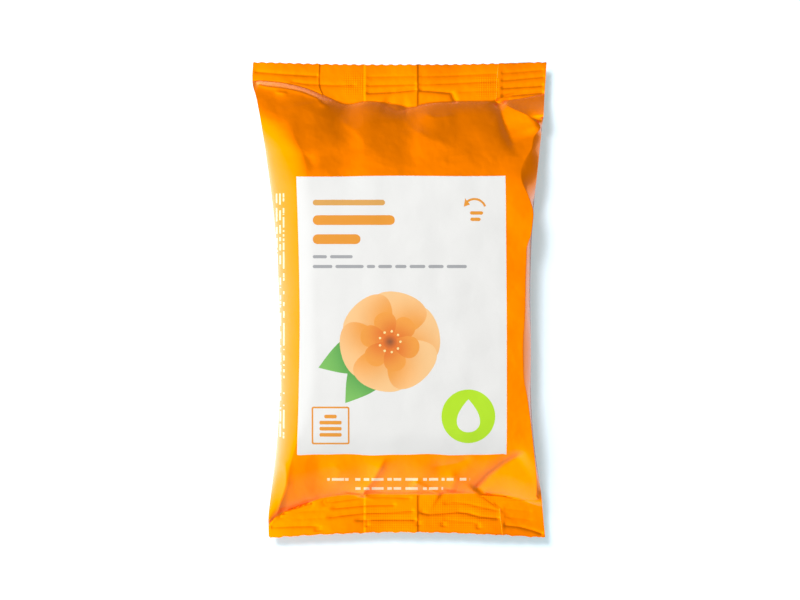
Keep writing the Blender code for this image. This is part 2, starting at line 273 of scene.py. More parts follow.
# Narrow valleys that the crimp jaws' ribs press into each end seal, as (x, y) paths and depths
TOP_GROOVES = (
    (((-60.5, 94.9), (-50, 94.3), (-33.4, 93.8)), 0.20),
    (((-45.5, 91.1), (-38.3, 90.4), (-27, 90.1), (-18, 90.3)), 0.16),
    (((-14.2, 93.8), (7.2, 94.1)), 0.08),
    (((-14.2, 90.2), (7.3, 90.7)), 0.18),
    (((-14.2, 87.0), (-10, 87.2), (-2, 87.6), (7.4, 88.5)), 0.30),
    (((7.7, 88.3), (15, 87.7), (21.5, 87.0), (22.6, 84.5), (23.6, 82.8)), 0.34),
    (((8, 94), (17, 94.1), (41, 94.7)), 0.10),
    (((8, 90.6), (41, 91.6)), 0.14),
    (((24.3, 87.3), (41, 87.7)), 0.08),
    (((41.8, 94.8), (60, 95.6)), 0.12),
    (((41.8, 91.7), (60.4, 92.8)), 0.18),
    (((41.8, 88.6), (60, 89.1)), 0.26),
    (((41.8, 85.3), (60, 86.2)), 0.32),
)
BOTTOM_GROOVES = (
    (((-53.6, -94.3), (-45.2, -94.5), (-33.7, -95.0)), 0.22),
    (((-18.2, -93.4), (-14.3, -93.3), (5, -93.4), (7.3, -93.6)), 0.30),
    (((18, -93.4), (31.9, -94.0)), 0.10),
    (((42.8, -94.4), (49.8, -94.8), (54.9, -95.8), (59.7, -97.2)), 0.30),
    (((-30.2, -91.8), (-24, -91.1), (-14.3, -90.5), (-5.5, -90.5), (2.4, -90.0), (6.1, -89.8)), 0.28),
    (((8, -90.3), (12, -91.1), (18.8, -90.6), (24, -89.8), (28.7, -90.3), (33, -91.4), (41.8, -91.8)), 0.34),
    (((-43.4, -91.8), (-31, -91.8)), 0.08),
    (((-28.6, -88.1), (-23.4, -87.9), (-13.9, -87.3), (-1.5, -87.3)), 0.26),
    (((-44, -88.7), (-30, -88.7)), 0.08),
    (((18, -86.7), (22.4, -85.9), (27.9, -86.3), (34, -87.5), (41.6, -88.7)), 0.18),
    (((-29.8, -85.5), (-25.4, -85.1), (-15.4, -84.1), (-7.5, -83.9), (5.1, -84.5)), 0.20),
    (((43, -87.6), (55, -88.0)), 0.08),
    (((43, -90.9), (55, -91.7)), 0.08),
)
GROOVE = 1.7
# Short notches across the cut strip
NOTCHES = (
    (((-33.8, -94.9), (-33.9, -97.4)), 0.45),
    (((-13.7, -93.2), (-13.8, -96.3)), 0.45),
    (((7.5, -93.8), (7.6, -96.2)), 0.30),
    (((18, -94), (18, -96.4)), 0.40),
    (((32, -94), (32.8, -96.8)), 0.45),
)


def folds(x, along):
    """All the folds of the front, added together."""
    return sum(fold(x, along, *one) for one in FRONT_FOLDS)


def ribs(x, along):
    """Grooves and notches pressed into the seals, which the back follows as well as the front."""
    total = np.zeros(x.shape)
    for path, depth in TOP_GROOVES + BOTTOM_GROOVES:
        total += fold(x, along, path, -GROOVE * depth, 0.55, 0.60, 1.0, 1.0)
    for path, depth in NOTCHES:
        total += fold(x, along, path, -depth, 0.7, 0.5, 0.5, 0.5)
    return total


def ripple(x, along):
    """Shallow waves left in slack film: eighteen sine waves of 9 to 30 mm in chosen directions."""
    chance = np.random.default_rng(7)
    total = np.zeros(x.shape)
    for _ in range(18):
        length = chance.uniform(9, 30)
        turn = chance.uniform(0, 2 * math.pi)
        phase = chance.uniform(0, 2 * math.pi)
        step = (x * math.cos(turn) + along * math.sin(turn)) * 2 * math.pi / length
        total += 0.0019 * length * np.sin(step + phase)
    return total


# %% The front and back panels
def front_height(x, along):
    """Height of the front: seals at the ends, a crowned panel over the wipes, and its folds."""
    seal = seal_middle(x, along) + FILM
    full = PACK_HEIGHT - CROWN * across(x, along) ** 2 - END_DROP * (along / 83) ** 2
    inside = inside_seal(x, along)
    body = smooth_step(inside, 0, 12)
    return seal + front_rise(inside, along, full - seal) + ripple(x, along) * body


def back_height(x, along, floor):
    """Height of the back: seals at the ends and flat on the floor between."""
    seal = seal_middle(x, along) - FILM
    return seal - (seal - floor) * rise(np.clip(inside_seal(x, along), 0, None), BACK_REACH, BACK_POWER)


def side_height(x, along, face):
    """Height of a side's edge: its strip's top for the front, its bottom for the back."""
    full = rise(np.clip(inside_seal(x, along), 0, None), 24, 2.4)
    middle = seal_middle(x, along)
    middle = middle + (SIDE_HEIGHT - middle) * full
    return middle + face * (FILM + (SIDE_STRIP / 2 - FILM) * full)


# %% [markdown]
# ## The film's mesh
#
# The mesh is two sheets of rows and columns, the front and the back, joined down both sides and
# across both cut edges into one closed skin. Columns are close together at the corners and rows are
# close together at the seals, because the small shapes are there. The back has half the columns.

# %% Rows and columns
SPAN_STEPS = (56, 34, 34, 46, 40)
SEAL_ROWS, SLOPE_ROWS, BODY_ROWS = 66, 48, 70
SLOPE_LENGTH = 25.0


def row_places():
    """Distances along the film of the rows, from the top cut edge to the bottom one."""
    seal = np.linspace(HALF_LENGTH, HALF_LENGTH - SEAL_WIDTH, SEAL_ROWS + 1)
    slope = np.linspace(seal[-1], seal[-1] - SLOPE_LENGTH, SLOPE_ROWS + 1)[1:]
    body = np.linspace(slope[-1], -slope[-1], BODY_ROWS + 1)[1:-1]
    return np.concatenate((seal, slope, body, -slope[::-1], -seal[::-1]))


def film_face(along, face):
    """Points of the front (1) or back (-1) sheet: a corner, three panels and a corner in a row."""
    along = along[:, None]
    left, right = sides(along)
    if face > 0:
        left_edge = left + curve_through(along, LEFT_INSET)
        right_edge = right - curve_through(along, RIGHT_INSET)
    else:
        tuck = np.clip((np.abs(along) - (HALF_LENGTH - SEAL_WIDTH - TUCK_REACH)) / TUCK_REACH, 0, 1)
        left_tuck = np.where(along > 0, TOP_LEFT_TUCK, BOTTOM_LEFT_TUCK)
        left_edge = left + BACK_CORNER + (left_tuck - BACK_CORNER) * tuck
        right_edge = right - BACK_CORNER - (RIGHT_TUCK - BACK_CORNER) * tuck
    fin_left = np.full_like(along, FIN_CENTRE - FIN_WIDTH / 2)
    fin_right = fin_left + FIN_WIDTH
    steps = SPAN_STEPS if face > 0 else [n // 2 for n in SPAN_STEPS]
    columns_x = []
    columns_lift = []
    columns_layer = []
    edges = (left, left_edge, fin_left, fin_right, right_edge, right)
    for i, count in enumerate(steps):
        t = np.linspace(0, 1, count + 1) + np.zeros_like(along)
        lift = np.ones_like(t)
        if i in (0, 4):
            turn = (t if i == 0 else 1 - t) * math.pi / 2
            roundness = corner_roundness(along, i, face)
            outward = 1 - np.cos(turn) ** (2 / roundness)
            lift = np.sin(turn) ** (2 / roundness)
            t = outward if i == 0 else 1 - outward
        elif face > 0:
            margin = 0.3 / (edges[i + 1] - edges[i])
            inner = np.linspace(0, 1, count - 1) * (1 - 2 * margin) + margin
            t = np.concatenate((t[:, :1], inner, t[:, -1:]), axis=1)
        first = 0 if i == 0 else 1
        x = edges[i] + (edges[i + 1] - edges[i]) * t
        columns_x.append(x[:, first:])
        columns_lift.append(lift[:, first:])
        layer = np.full_like(t, 1.0 if i in (0, 2, 4) else 0.0)
        if i == 0:
            layer *= along > 0
        columns_layer.append(layer[:, first:])
    x = np.concatenate(columns_x, axis=1)
    lift = np.concatenate(columns_lift, axis=1)
    layer = np.concatenate(columns_layer, axis=1)
    along = along + np.zeros_like(x)
    side = side_height(x, along, face)
    if face > 0:
        panel = front_height(x, along) + folds(x, along)
        panel += layer * LAYER_STEP * smooth_step(-inside_seal(x, along), -0.5, 0.5)
    else:
        in_fin = smooth_step(np.abs(x - FIN_CENTRE), FIN_WIDTH / 2, FIN_WIDTH / 2 + 0.5)
        panel = back_height(x, along, FIN_THICKNESS * in_fin)
    if face > 0:
        hug = smooth_step(along, 60, 78) * smooth_step(-x, 20, 40)
        side = side + (panel - 1.0 - side) * hug
        facet = np.clip((right - right_edge) / FACET_WIDTH, 0, 1) * smooth_step(x, 20, 40)
        side = side + FACET_LIFT * facet * smooth_step(inside_seal(x, along), 0, 12)
    z = side + (panel - side) * lift
    at_edge = np.clip((np.abs(along) - HALF_LENGTH + 1) / 1, 0, 1)
    y = pulled_in(x, along) - np.sign(along) * knife_cut(x, along, left, right) * at_edge
    return np.stack((x, y, z), axis=-1)


def knife_cut(x, along, left, right):
    """Depth of the knife's cut: even scallops at the top, a worn uneven line below, round corners."""
    scallops = SCALLOP_DEPTH / 2 * (1 - np.cos((x - left[0]) * math.pi * SCALLOPS / pouch_high[0]))
    uneven = 0.35 + 0.16 * np.sin(x * 0.9) + 0.12 * np.sin(x * 1.7 + 1) + 0.07 * np.sin(x * 3.9)
    near_side = np.clip(1 - np.minimum(x - left, right - x) / CORNER_CUT, 0, 1)
    return np.where(along > 0, scallops, uneven) + CORNER_CUT * (1 - np.sqrt(1 - near_side ** 2))


def corner_roundness(along, span, face):
    """Exponent of a corner's superellipse: round over the wipes, nearly straight in the ears."""
    tuck = smooth_step(np.abs(along), HALF_LENGTH - SEAL_WIDTH - TUCK_REACH, HALF_LENGTH - SEAL_WIDTH)
    body = 2.2
    if face > 0:
        body = 1.5 if span == 0 else 1.3
    ear = 1.15 if span == 0 or face < 0 else 0.8
    return body + (ear - body) * tuck


# %% Join the sheets into one skin
def film_mesh(name, front, back):
    """One closed mesh of the two sheets, whose back has a column for every other front column."""
    rows, wide = front.shape[:2]
    narrow = back.shape[1]
    points = np.concatenate((front.reshape(-1, 3), back.reshape(-1, 3)))
    f = np.arange(rows * wide).reshape(rows, wide)
    b = rows * wide + np.arange(rows * narrow).reshape(rows, narrow)
    quads = [
        np.stack((f[1:, :-1], f[1:, 1:], f[:-1, 1:], f[:-1, :-1]), -1).reshape(-1, 4),
        np.stack((b[:-1, :-1], b[:-1, 1:], b[1:, 1:], b[1:, :-1]), -1).reshape(-1, 4),
        np.stack((f[:-1, 0], b[:-1, 0], b[1:, 0], f[1:, 0]), -1),
        np.stack((f[1:, -1], b[1:, -1], b[:-1, -1], f[:-1, -1]), -1),
    ]
    corners = []
    for row, turn in ((0, 1), (-1, -1)):
        a, mid, c = f[row, :-1:2], f[row, 1::2], f[row, 2::2]
        p, q = b[row, :-1], b[row, 1:]
        for one in ((a, mid, p), (mid, q, p), (mid, c, q)):
            corners.append(np.stack(one[::turn], -1))
    faces = np.concatenate(quads).tolist() + np.concatenate(corners).tolist()
    mesh = bpy.data.meshes.new(name)
    mesh.from_pydata((points * MM).tolist(), [], faces)
    mesh.update()
    return mesh


def add_piece(name, mesh, material):
    """An object of the scene, smooth shaded, with its place in its mesh."""
    mesh.materials.append(material)
    mesh.shade_smooth()
    item = bpy.data.objects.new(name, mesh)
    bpy.context.scene.collection.objects.link(item)
    return item


# %% [markdown]
# ## Colours and nodes
#
# Colours are written as sRGB hex values, as in any paint program, and one function turns them into
# the linear values that a shader needs. One more function adds a node, so that a material reads as a
# list of its nodes.


# %% Colour and node helpers
def linear(code):
    """An sRGB hex colour as linear red, green, blue and alpha."""
    values = np.array([int(code[i:i + 2], 16) for i in (1, 3, 5)]) / 255
    low = values / 12.92
    high = ((values + 0.055) / 1.055) ** 2.4
    return (*np.where(values <= 0.04045, low, high), 1.0)


def add_node(tree, kind, links=None, values=None, **settings):
    """Add a node: links and values go to its sockets, by name or number, settings to itself."""
    node = tree.nodes.new(kind)
    for key, value in settings.items():
        setattr(node, key, value)
    for socket, value in (values or {}).items():
        node.inputs[socket].default_value = value
    for socket, source in (links or {}).items():
        tree.links.new(source, node.inputs[socket])
    return node.outputs


def new_material(name):
    """A material with an empty tree but for its output."""
    material = bpy.data.materials.new(name)
    material.use_nodes = True
    tree = material.node_tree
    tree.nodes.clear()
    return material, tree, tree.nodes.new("ShaderNodeOutputMaterial")


def box_mask(tree, place, low, high, fade=0.01):
    """1 inside a box given in millimetres and 0 outside, fading over a share of its half widths."""
    centre = [(a + b) / 2 * MM for a, b in zip(low, high)]
    half = [(b - a) / 2 * MM for a, b in zip(low, high)]
    moved = add_node(tree, "ShaderNodeVectorMath", {0: place}, {1: centre}, operation="SUBTRACT")
    size = add_node(tree, "ShaderNodeVectorMath", {0: moved[0]}, operation="ABSOLUTE")
    share = add_node(tree, "ShaderNodeVectorMath", {0: size[0]}, {1: half}, operation="DIVIDE")
    x, y, z = add_node(tree, "ShaderNodeSeparateXYZ", {0: share[0]})
    widest = add_node(tree, "ShaderNodeMath", {0: x, 1: y}, operation="MAXIMUM")
    widest = add_node(tree, "ShaderNodeMath", {0: widest[0], 1: z}, operation="MAXIMUM")
    limits = {"From Min": 1 - fade, "From Max": 1.0, "To Min": 1.0, "To Max": 0.0}
    return add_node(tree, "ShaderNodeMapRange", {"Value": widest[0]}, limits)[0]


# %% [markdown]
# ## The film
#
# The film is a laminate: orange ink on the inside of a clear polyester web, with a metallised layer
# behind it. So it acts as a mirror tinted orange: bright where it faces the light, brown where it
# turns away, and never chalky. Fine creases from the filling machine spread its reflections, which
# a noise bump does here. The crimp jaws leave a knurl of 0.95 mm, too fine for the mesh, so it is a
# bump as well. The rows of white small print are plain bars, because the pack carries no words.

# %% Film material
FILM_ORANGE = "#FF8200"
PRINT_WHITE = "#FBDFB4"
FRONT_LOW, FRONT_HIGH = 8, 30
KNURL_PITCH = 0.95
SMALL_PRINT = (
    # lowest and highest corner, turn, word length and line height, in millimetres
    ((-30, -75.2, FRONT_LOW), (29, -72.6, FRONT_HIGH), 0.0, 8.0, 2.6),
    ((-20, -79.2, FRONT_LOW), (18, -76.6, FRONT_HIGH), 0.0, 8.0, 2.6),
    ((-51.5, -57, FRONT_LOW), (-46.6, 44, FRONT_HIGH), math.pi / 2, 5.5, 1.5),
)
KNURLED = (
    ((7, -96, FRONT_LOW), (42.5, -80, 13)),
    ((-17, -97, FRONT_LOW), (9, -85, 13)),
    ((-24, 84, FRONT_LOW), (-13, 95, 13)),
    ((31, 83, FRONT_LOW), (43, 94, 13)),
)


def printed_rows(tree, place, low, high, turn, word, line):
    """Ink of a block of small print: noise along each line, cut at a level, gives uneven words."""
    units = add_node(tree, "ShaderNodeMapping", {"Vector": place}, {
        "Location": (0, -low[1] * MM if turn == 0 else -low[0] * MM, 0), "Rotation": (0, 0, turn)})
    x, y, _ = add_node(tree, "ShaderNodeSeparateXYZ", {0: units[0]})
    lines = add_node(tree, "ShaderNodeMath", {0: y}, {1: line * MM}, operation="DIVIDE")[0]
    number = add_node(tree, "ShaderNodeMath", {0: lines}, operation="FLOOR")[0]
    height = add_node(tree, "ShaderNodeMath", {0: lines}, operation="FRACT")[0]
    along = add_node(tree, "ShaderNodeMath", {0: x}, {1: 2.2 / (word * MM)}, operation="MULTIPLY")[0]
    spread = add_node(tree, "ShaderNodeMath", {0: number}, {1: 7.3}, operation="MULTIPLY")[0]
    spot = add_node(tree, "ShaderNodeCombineXYZ", {"X": along, "Y": spread})[0]
    noise = add_node(tree, "ShaderNodeTexNoise", {"Vector": spot}, {"Scale": 1.0, "Detail": 1.0})[0]
    words = add_node(tree, "ShaderNodeMath", {0: noise}, {1: 0.47}, operation="GREATER_THAN")[0]
    strip = add_node(tree, "ShaderNodeMath", {0: height}, {1: 0.5, 2: 0.22}, operation="COMPARE")[0]
    block = box_mask(tree, place, low, high)
    ink = add_node(tree, "ShaderNodeMath", {0: words, 1: strip}, operation="MULTIPLY")[0]
    return add_node(tree, "ShaderNodeMath", {0: ink, 1: block}, operation="MULTIPLY")[0]


def either(tree, masks):
    """1 where any of the masks is 1."""
    total = masks[0]
    for mask in masks[1:]:
        total = add_node(tree, "ShaderNodeMath", {0: total, 1: mask}, operation="MAXIMUM")[0]
    return total


def film_material():
    """Orange ink over metallised film: a tinted mirror, made satin by fine creases."""
    material, tree, output = new_material("metallised_laminate_film_printed_orange")
    place = add_node(tree, "ShaderNodeTexCoord")["Object"]
    fine = add_node(tree, "ShaderNodeTexNoise", {"Vector": place}, {"Scale": 420.0, "Detail": 4.0})
    slack = add_node(tree, "ShaderNodeTexNoise", {"Vector": place}, {"Scale": 95.0, "Detail": 2.0, "Roughness": 0.6})
    loose = add_node(tree, "ShaderNodeBump", {"Height": slack[0]}, {"Strength": 0.22, "Distance": 0.0015})
    creased = add_node(tree, "ShaderNodeBump", {"Height": fine[0], "Normal": loose[0]},
                       {"Strength": 0.10, "Distance": 0.0006})
    wave = {"Scale": math.pi / (10 * KNURL_PITCH * MM), "Distortion": 0.0}
    upright = add_node(tree, "ShaderNodeTexWave", {"Vector": place}, wave, bands_direction="X")
    level = add_node(tree, "ShaderNodeTexWave", {"Vector": place}, wave, bands_direction="Y")
    knurl = add_node(tree, "ShaderNodeMath", {0: upright["Fac"], 1: level["Fac"]}, operation="MULTIPLY")
    crimped = either(tree, [box_mask(tree, place, *box, fade=0.45) for box in KNURLED])
    knurl = add_node(tree, "ShaderNodeMath", {0: knurl[0], 1: crimped}, operation="MULTIPLY")
    pressed = add_node(tree, "ShaderNodeBump", {"Height": knurl[0], "Normal": creased[0]},
                       {"Strength": 0.5, "Distance": 0.00014})
    ink = either(tree, [printed_rows(tree, place, *block) for block in SMALL_PRINT])
    colour = add_node(tree, "ShaderNodeMix", {0: ink}, {6: linear(FILM_ORANGE), 7: linear(PRINT_WHITE)},
                      data_type="RGBA")
    metal = add_node(tree, "ShaderNodeMath", {0: ink}, {1: -0.8, 2: 1.0}, operation="MULTIPLY_ADD")
    steep = add_node(tree, "ShaderNodeLayerWeight", None, {"Blend": 0.5})["Facing"]
    web = add_node(tree, "ShaderNodeMapRange", {"Value": steep}, {"From Min": 0.12, "From Max": 0.5})
    shader = add_node(tree, "ShaderNodeBsdfPrincipled", {
        "Normal": pressed[0], "Base Color": colour[2], "Metallic": metal[0], "Coat Weight": web[0],
    }, {"Roughness": 0.30, "Specular Tint": linear("#FFEEDD"), "Coat Roughness": 0.12, "Coat IOR": 1.64})
    tree.links.new(shader[0], output.inputs["Surface"])
    return material


# %% Make the pouch
rows = row_places()
front = film_face(rows, 1)
back = film_face(rows, -1)
pouch = add_piece("pouch_film", film_mesh("pouch_film", front, back), film_material())
print("pouch triangles:", sum(len(p.vertices) - 2 for p in pouch.data.polygons))

# %% [markdown]
# ## The reseal label
#
# The label is a white polypropylene film with a peelable glue. It is thicker than the pouch's film,
# but it still drapes: its left edge wraps over the pouch's rounded corner, so from above that edge
# bows in. Its sheet is a flat drawing laid on the film, and each point takes its height there.

# %% The label's outline and height
LABEL_LEFT = ((-63.3, -42.0), (-36, -41.3), (-7, -40.9), (26, -41.5), (50.4, -42.3))
LABEL_RIGHT = ((-63.3, 43.7), (-7, 43.6), (50.4, 43.2))
LABEL_LOW, LABEL_HIGH = -63.3, 50.5
LABEL_GAP, LABEL_THICKNESS = 0.15, 0.12
EDGE_STEPS = 60


def label_top(x, y):
    """Height of the label's printed face: the film's surface, rounded corner included, plus a gap."""
    left, _ = sides(y)
    share = np.clip((x - left) / curve_through(y, LEFT_INSET), 0, 1)
    power = corner_roundness(y, 0, 1)
    lift = (1 - (1 - share) ** power) ** (1 / power)
    side = side_height(x, y, 1)
    panel = front_height(x, y) + folds(x, y)
    return side + (panel - side) * lift + LABEL_GAP + LABEL_THICKNESS


def label_outline():
    """The label's edge, walked with the sheet on the left: bottom, right, top and left."""
    share = np.linspace(0, 1, EDGE_STEPS, endpoint=False)
    up = LABEL_LOW + (LABEL_HIGH - LABEL_LOW) * share
    down = up[0] + LABEL_HIGH - up
    low_x = -42.0 + 85.7 * share
    high_x = 43.2 - 85.5 * share
    wavy = LABEL_LOW + 0.22 * np.sin(low_x / 5.5) - 0.12 * np.sin(low_x / 2.6)
    return np.concatenate((
        np.stack((low_x, np.where(share == 0, LABEL_LOW, wavy)), -1),
        np.stack((curve_through(up, LABEL_RIGHT), up), -1),
        np.stack((high_x, LABEL_HIGH + 0.3 * (1 - share) - 0.15 * np.sin(share * 9)), -1),
        np.stack((curve_through(down, LABEL_LEFT), down), -1),
    ))


# %% [markdown]
# ## The label's print
#
# The print is plain shapes in a few inks: rounded bars where a label has its words, a blossom with
# leaves, a green spot with a drop, a framed stack of wipes and a peel arrow. Each shape is an outline
# worked out by a formula. The sheet is then triangulated along all the outlines at once, so an ink's
# edge is an edge of the mesh and stays sharp at any distance, and each triangle's corners carry the
# colour of the ink on top.


# %% Outlines of the printed shapes
def bar(left, right, low, high, radius):
    """A rectangle whose corners are quarter circles."""
    turn = np.linspace(0, math.pi / 2, 5)
    middles = ((right - radius, high - radius), (left + radius, high - radius),
               (left + radius, low + radius), (right - radius, low + radius))
    return np.concatenate([
        np.stack((x + radius * np.cos(turn + k * math.pi / 2), y + radius * np.sin(turn + k * math.pi / 2)), -1)
        for k, (x, y) in enumerate(middles)
    ])


def placed(x, y, at, angle):
    """Points turned about the origin by an angle in degrees, then moved to a place."""
    c, s = math.cos(math.radians(angle)), math.sin(math.radians(angle))
    return np.stack((at[0] + c * x - s * y, at[1] + s * x + c * y), -1)


def disc(at, radius):
    """A circle."""
    turn = np.linspace(0, 2 * math.pi, 48, endpoint=False)
    return placed(radius * np.cos(turn), radius * np.sin(turn), at, 0)


def petal(at, angle, length, width):
    """A drop with its point at the start: its width is sin(t) sin(t / 2) of the way round."""
    t = np.linspace(0, 2 * math.pi, 48, endpoint=False)
    return placed(length * (1 - np.cos(t)) / 2, -0.65 * width * np.sin(t) * np.sin(t / 2), at, angle)


def leaf(at, angle, length, width):
    """A lens with a pointed end: half a sine wave below and one above."""
    s = np.linspace(0, 1, 24, endpoint=False)
    bulge = 0.5 * width * np.sin(math.pi * s ** 0.85)
    lower = placed(length * s, -bulge, at, angle)
    upper = placed(length * (1 - s), 0.5 * width * np.sin(math.pi * (1 - s) ** 0.85), at, angle)
    return np.concatenate((lower, upper))


def curved_arrow(at, radius, width, start, stop):
    """An arc of even width from one angle to another, in degrees, with an arrowhead at its end."""
    turn = np.radians(np.linspace(start, stop, 16))
    tip = math.radians(stop + 34)
    inner = np.stack((np.cos(turn), np.sin(turn)), -1) * (radius - width / 2)
    outer = np.stack((np.cos(turn), np.sin(turn)), -1)[::-1] * (radius + width / 2)
    end = np.array((math.cos(turn[-1]), math.sin(turn[-1])))
    head = np.array((end * (radius - 1.8 * width), np.array((math.cos(tip), math.sin(tip))) * radius,
                     end * (radius + 1.8 * width)))
    return (np.concatenate((inner, head, outer)) + at)[::-1]


# %% Inks
LABEL_WHITE, ORANGE_INK, PALE_ORANGE, GREY_INK = "#EDEDEB", "#E7972A", "#DDA453", "#A3A5A8"
LIME_INK, PEACH, APRICOT, BLUSH = "#B6E61A", "#FBCB8E", "#F3A03F", "#E2711C"
DARK_LEAF, PALE_LEAF, CORE = "#2F8B3A", "#7CBF5C", "#8A4A1B"


def flat(code):
    """An ink of one colour."""
    return lambda x, y: np.ones(x.shape + (1,)) * linear(code)


def faded(inner, outer, at, near, far):
    """An ink that fades from one colour to another with the distance from a point."""
    def ink(x, y):
        share = smooth_step(np.hypot(x - at[0], y - at[1]), near, far)[..., None]
        return np.array(linear(inner)) * (1 - share) + np.array(linear(outer)) * share
    return ink


def words(lengths, left, low, high, ink):
    """A row of rounded bars with a gap of half their height, as (outline, ink) pairs."""
    shapes = []
    for length in lengths:
        shapes.append((bar(left, left + length, low, high, 0.48 * (high - low)), ink))
        left += length + 0.6 * (high - low) + 0.5
    return shapes


BLOSSOM, BLOSSOM_SIZE = (-4.0, -17.0), 20.5
LIME_SPOT, LIME_RADIUS = (28.0, -47.5), 11.0
FRAME = (-36.0, -20.5, -59.0, -43.5)


def beside(angle, distance):
    """A point at an angle in degrees and a distance from the blossom's centre."""
    turn = math.radians(angle)
    return BLOSSOM[0] + distance * math.cos(turn), BLOSSOM[1] + distance * math.sin(turn)


def blossom():
    """Two leaves, then six petals that overlap, each darker on one side, round a dark core."""
    green = faded(DARK_LEAF, PALE_LEAF, BLOSSOM, 12, 31)
    shapes = [(leaf(BLOSSOM, angle, 31, 16), green) for angle in (200, 234)]
    for angle in range(14, 374, 60):
        petal_ink = faded(APRICOT, PEACH, beside(angle - 62, 9), 3, 20)
        shapes.append((petal(BLOSSOM, angle, BLOSSOM_SIZE, 23), petal_ink))
    for angle in range(44, 404, 60):
        petal_ink = faded(BLUSH, APRICOT, beside(angle - 62, 3), 1, 11)
        shapes.append((petal(BLOSSOM, angle, 0.6 * BLOSSOM_SIZE, 9), petal_ink))
    shapes.append((disc(BLOSSOM, 2.9), faded(CORE, BLUSH, BLOSSOM, 0, 3.4)))
    shapes += [(disc(beside(angle, 4.3), 0.5), flat("#FBE39A")) for angle in range(0, 360, 40)]
    return shapes


def framed_stack():
    """A square outline round a little stack of folded wipes."""
    left, right, low, high = FRAME
    line = 0.7
    shapes = [(bar(left, right, low, high, 0.8), flat(ORANGE_INK)),
              (bar(left + line, right - line, low + line, high - line, 0.3), flat(LABEL_WHITE))]
    for k, inset in enumerate((3.2, 3.2, 3.2, 5.2)):
        foot = low + 3.2 + 2.5 * k
        shapes.append((bar(left + inset, right - inset, foot, foot + 1.5, 0.6), flat(ORANGE_INK)))
    return shapes


def label_print():
    """Every printed shape, from the lowest to the topmost."""
    shapes = words((29.5,), -35.5, 38.6, 40.9, flat(PALE_ORANGE))
    shapes += words((33.5,), -35.5, 30.6, 34.6, flat(ORANGE_INK))
    shapes += words((19.5,), -35.5, 22.8, 26.8, flat(ORANGE_INK))
    shapes += words((5.8, 9.2), -35.5, 17.0, 18.3, flat(GREY_INK))
    shapes += words((8.0, 11.5, 3.4, 5.6, 4.6, 6.4, 6.2, 8.2), -35.5, 13.0, 14.3, flat(GREY_INK))
    shapes.append((curved_arrow((30.5, 36.6), 4.6, 0.9, 20, 128), flat(ORANGE_INK)))
    shapes += words((5.4,), 28.6, 34.8, 36.2, flat(ORANGE_INK))
    shapes += words((4.2,), 28.8, 32.2, 33.6, flat(ORANGE_INK))
    shapes += blossom()
    shapes.append((disc(LIME_SPOT, LIME_RADIUS), flat(LIME_INK)))
    shapes.append((petal((LIME_SPOT[0], LIME_SPOT[1] + 7), -90, 13.5, 9.5), flat(LABEL_WHITE)))
    shapes += framed_stack()
    return shapes


# %% The printed sheet
SHEET_STEP = 1.6


def finely(outline):
    """The outline with points added until none of its edges is longer than the sheet's step."""
    following = np.roll(outline, -1, axis=0)
    length = np.linalg.norm(following - outline, axis=1)
    parts = np.maximum(np.ceil(length / SHEET_STEP), 1).astype(int)
    first = np.repeat(np.cumsum(parts) - parts, parts)
    share = ((np.arange(parts.sum()) - first) / np.repeat(parts, parts))[:, None]
    return np.repeat(outline, parts, axis=0) * (1 - share) + np.repeat(following, parts, axis=0) * share


def printed_sheet(name, outline, shapes):
    """A mesh of the sheet, cut along every outline, with each triangle in the topmost ink."""
    x, y = np.meshgrid(np.arange(-40, 43, SHEET_STEP), np.arange(-61.5, 50, SHEET_STEP))
    loops = [finely(loop) for loop in [outline] + [shape for shape, _ in shapes]]
    inks = [flat(LABEL_WHITE)] + [ink for _, ink in shapes]
    points = np.concatenate(loops + [np.stack((x.ravel(), y.ravel()), -1)])
    ends = np.cumsum([len(loop) for loop in loops])
    faces = [list(range(end - len(loop), end)) for end, loop in zip(ends, loops)]
    flat_points, _, triangles, _, _, sources = geometry.delaunay_2d_cdt(
        [Vector(point) for point in points], [], faces, 1, 1e-5)
    place = np.array([tuple(point) for point in flat_points])
    height = label_top(place[:, 0], place[:, 1])
    mesh = bpy.data.meshes.new(name)
    mesh.from_pydata((np.column_stack((place, height)) * MM).tolist(), [], [list(t) for t in triangles])
    corner = place[np.array([tuple(t) for t in triangles])]
    top = np.array([max(source) for source in sources])
    colours = np.zeros(corner.shape[:2] + (4,))
    for number, ink in enumerate(inks):
        mine = top == number
        colours[mine] = ink(corner[mine, :, 0], corner[mine, :, 1])
    attribute = mesh.color_attributes.new("ink", "FLOAT_COLOR", "CORNER")
    attribute.data.foreach_set("color", colours.astype(np.float32).ravel())
    edge_of_corner = np.zeros(len(mesh.loops), dtype=np.int32)
    mesh.loops.foreach_get("edge_index", edge_of_corner)
    rim = np.bincount(edge_of_corner, minlength=len(mesh.edges)) == 1
    mesh.attributes.new("sharp_edge", "BOOLEAN", "EDGE").data.foreach_set("value", rim)
    return mesh


VARNISH = 0.85  # the share of the light that the varnish lets through


def label_material():
    """White polypropylene label film, printed and varnished: smooth, with a soft gloss."""
    material, tree, output = new_material("white_polypropylene_label_film_varnished")
    ink = add_node(tree, "ShaderNodeAttribute", attribute_name="ink")
    place = add_node(tree, "ShaderNodeTexCoord")["Object"]
    slack = add_node(tree, "ShaderNodeTexNoise", {"Vector": place}, {"Scale": 90.0, "Detail": 2.0})
    waves = add_node(tree, "ShaderNodeBump", {"Height": slack[0]}, {"Strength": 0.5, "Distance": 0.0008})
    varnish = add_node(tree, "ShaderNodeVectorMath", {0: ink["Color"]}, {3: VARNISH}, operation="SCALE")
    shader = add_node(tree, "ShaderNodeBsdfPrincipled", {"Base Color": varnish[0], "Normal": waves[0]},
                      {"Roughness": 0.42})
    tree.links.new(shader[0], output.inputs["Surface"])
    return material


